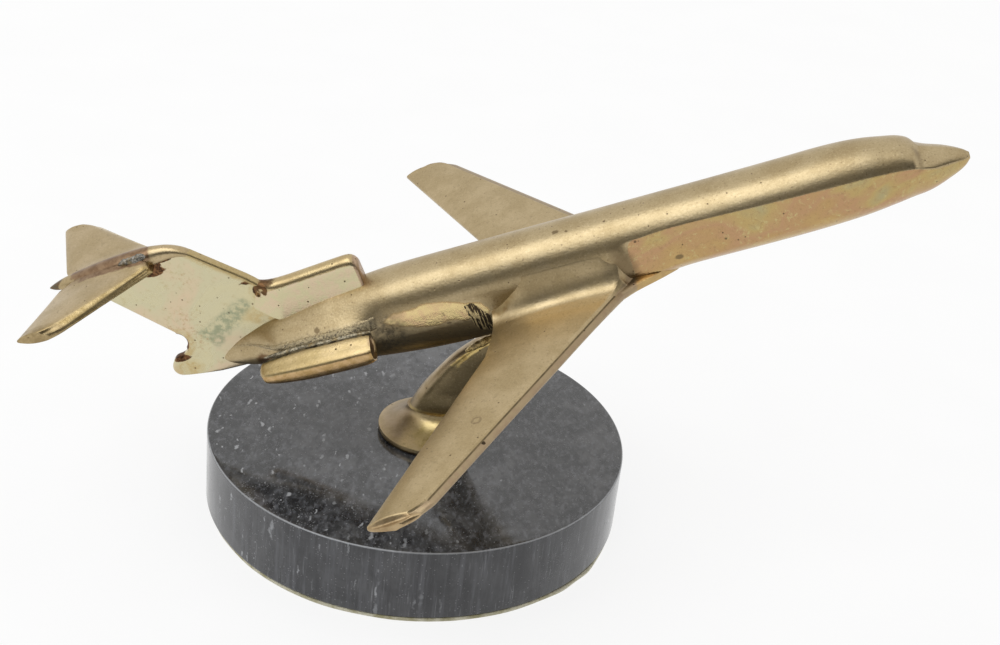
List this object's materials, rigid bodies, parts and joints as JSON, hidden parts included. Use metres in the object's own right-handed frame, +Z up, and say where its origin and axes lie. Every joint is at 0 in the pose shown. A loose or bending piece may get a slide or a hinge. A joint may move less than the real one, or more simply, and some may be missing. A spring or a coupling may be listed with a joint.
{
  "type": "desktop airliner model",
  "caption": "Cast brass trijet airliner with a T-tail on a raked stem and flared foot, bolted to a round marble base.",
  "frame": {"origin": "centre of the marble disc, on the underside of the card glued under it", "axes": "+X is the heading of the airliner's nose, +Y is its port side, +Z is up away from the table"},
  "size_m": [0.2291, 0.1602, 0.122],
  "materials": {
    "marble": "polished dark grey marble with white flecks and upright streaks",
    "card": "aged backing card",
    "brass_cast": "cast brass, aged, brushed on the high spots",
    "brass_polished": "polished brass with pits, dark bands and heat tint",
    "brass_satin": "satin brass, evenly tarnished",
    "brass_tarnished": "pale brass with yellow-green and pink tarnish and brown spots",
    "braze": "rough braze",
    "solder": "grey lumpy solder",
    "steel": "zinc plated"
  },
  "bodies": {
    "base": {"marble_base": "marble", "base_card": "card"},
    "airliner": {"foot": "brass_cast", "stud": "steel", "washer": "steel", "nut": "steel", "stem": "brass_cast", "stem_braze": "braze", "fuselage": "brass_polished", "starboard_wing": "brass_satin", "port_wing": "brass_satin", "tail_fin": "brass_tarnished", "centre_intake": "brass_tarnished", "fin_pin": "braze", "tailplane": "brass_satin", "tailplane_braze": "solder", "starboard_nacelle": "brass_cast", "port_nacelle": "brass_cast", "nacelle_solder": "solder"}
  },
  "joints": [
    {"name": "swivel", "type": "hinge", "parent": "base", "child": "airliner", "pos_m": [0.0038, 0, 0.021], "axis": [0, 0, 1], "continuous": true}
  ]
}
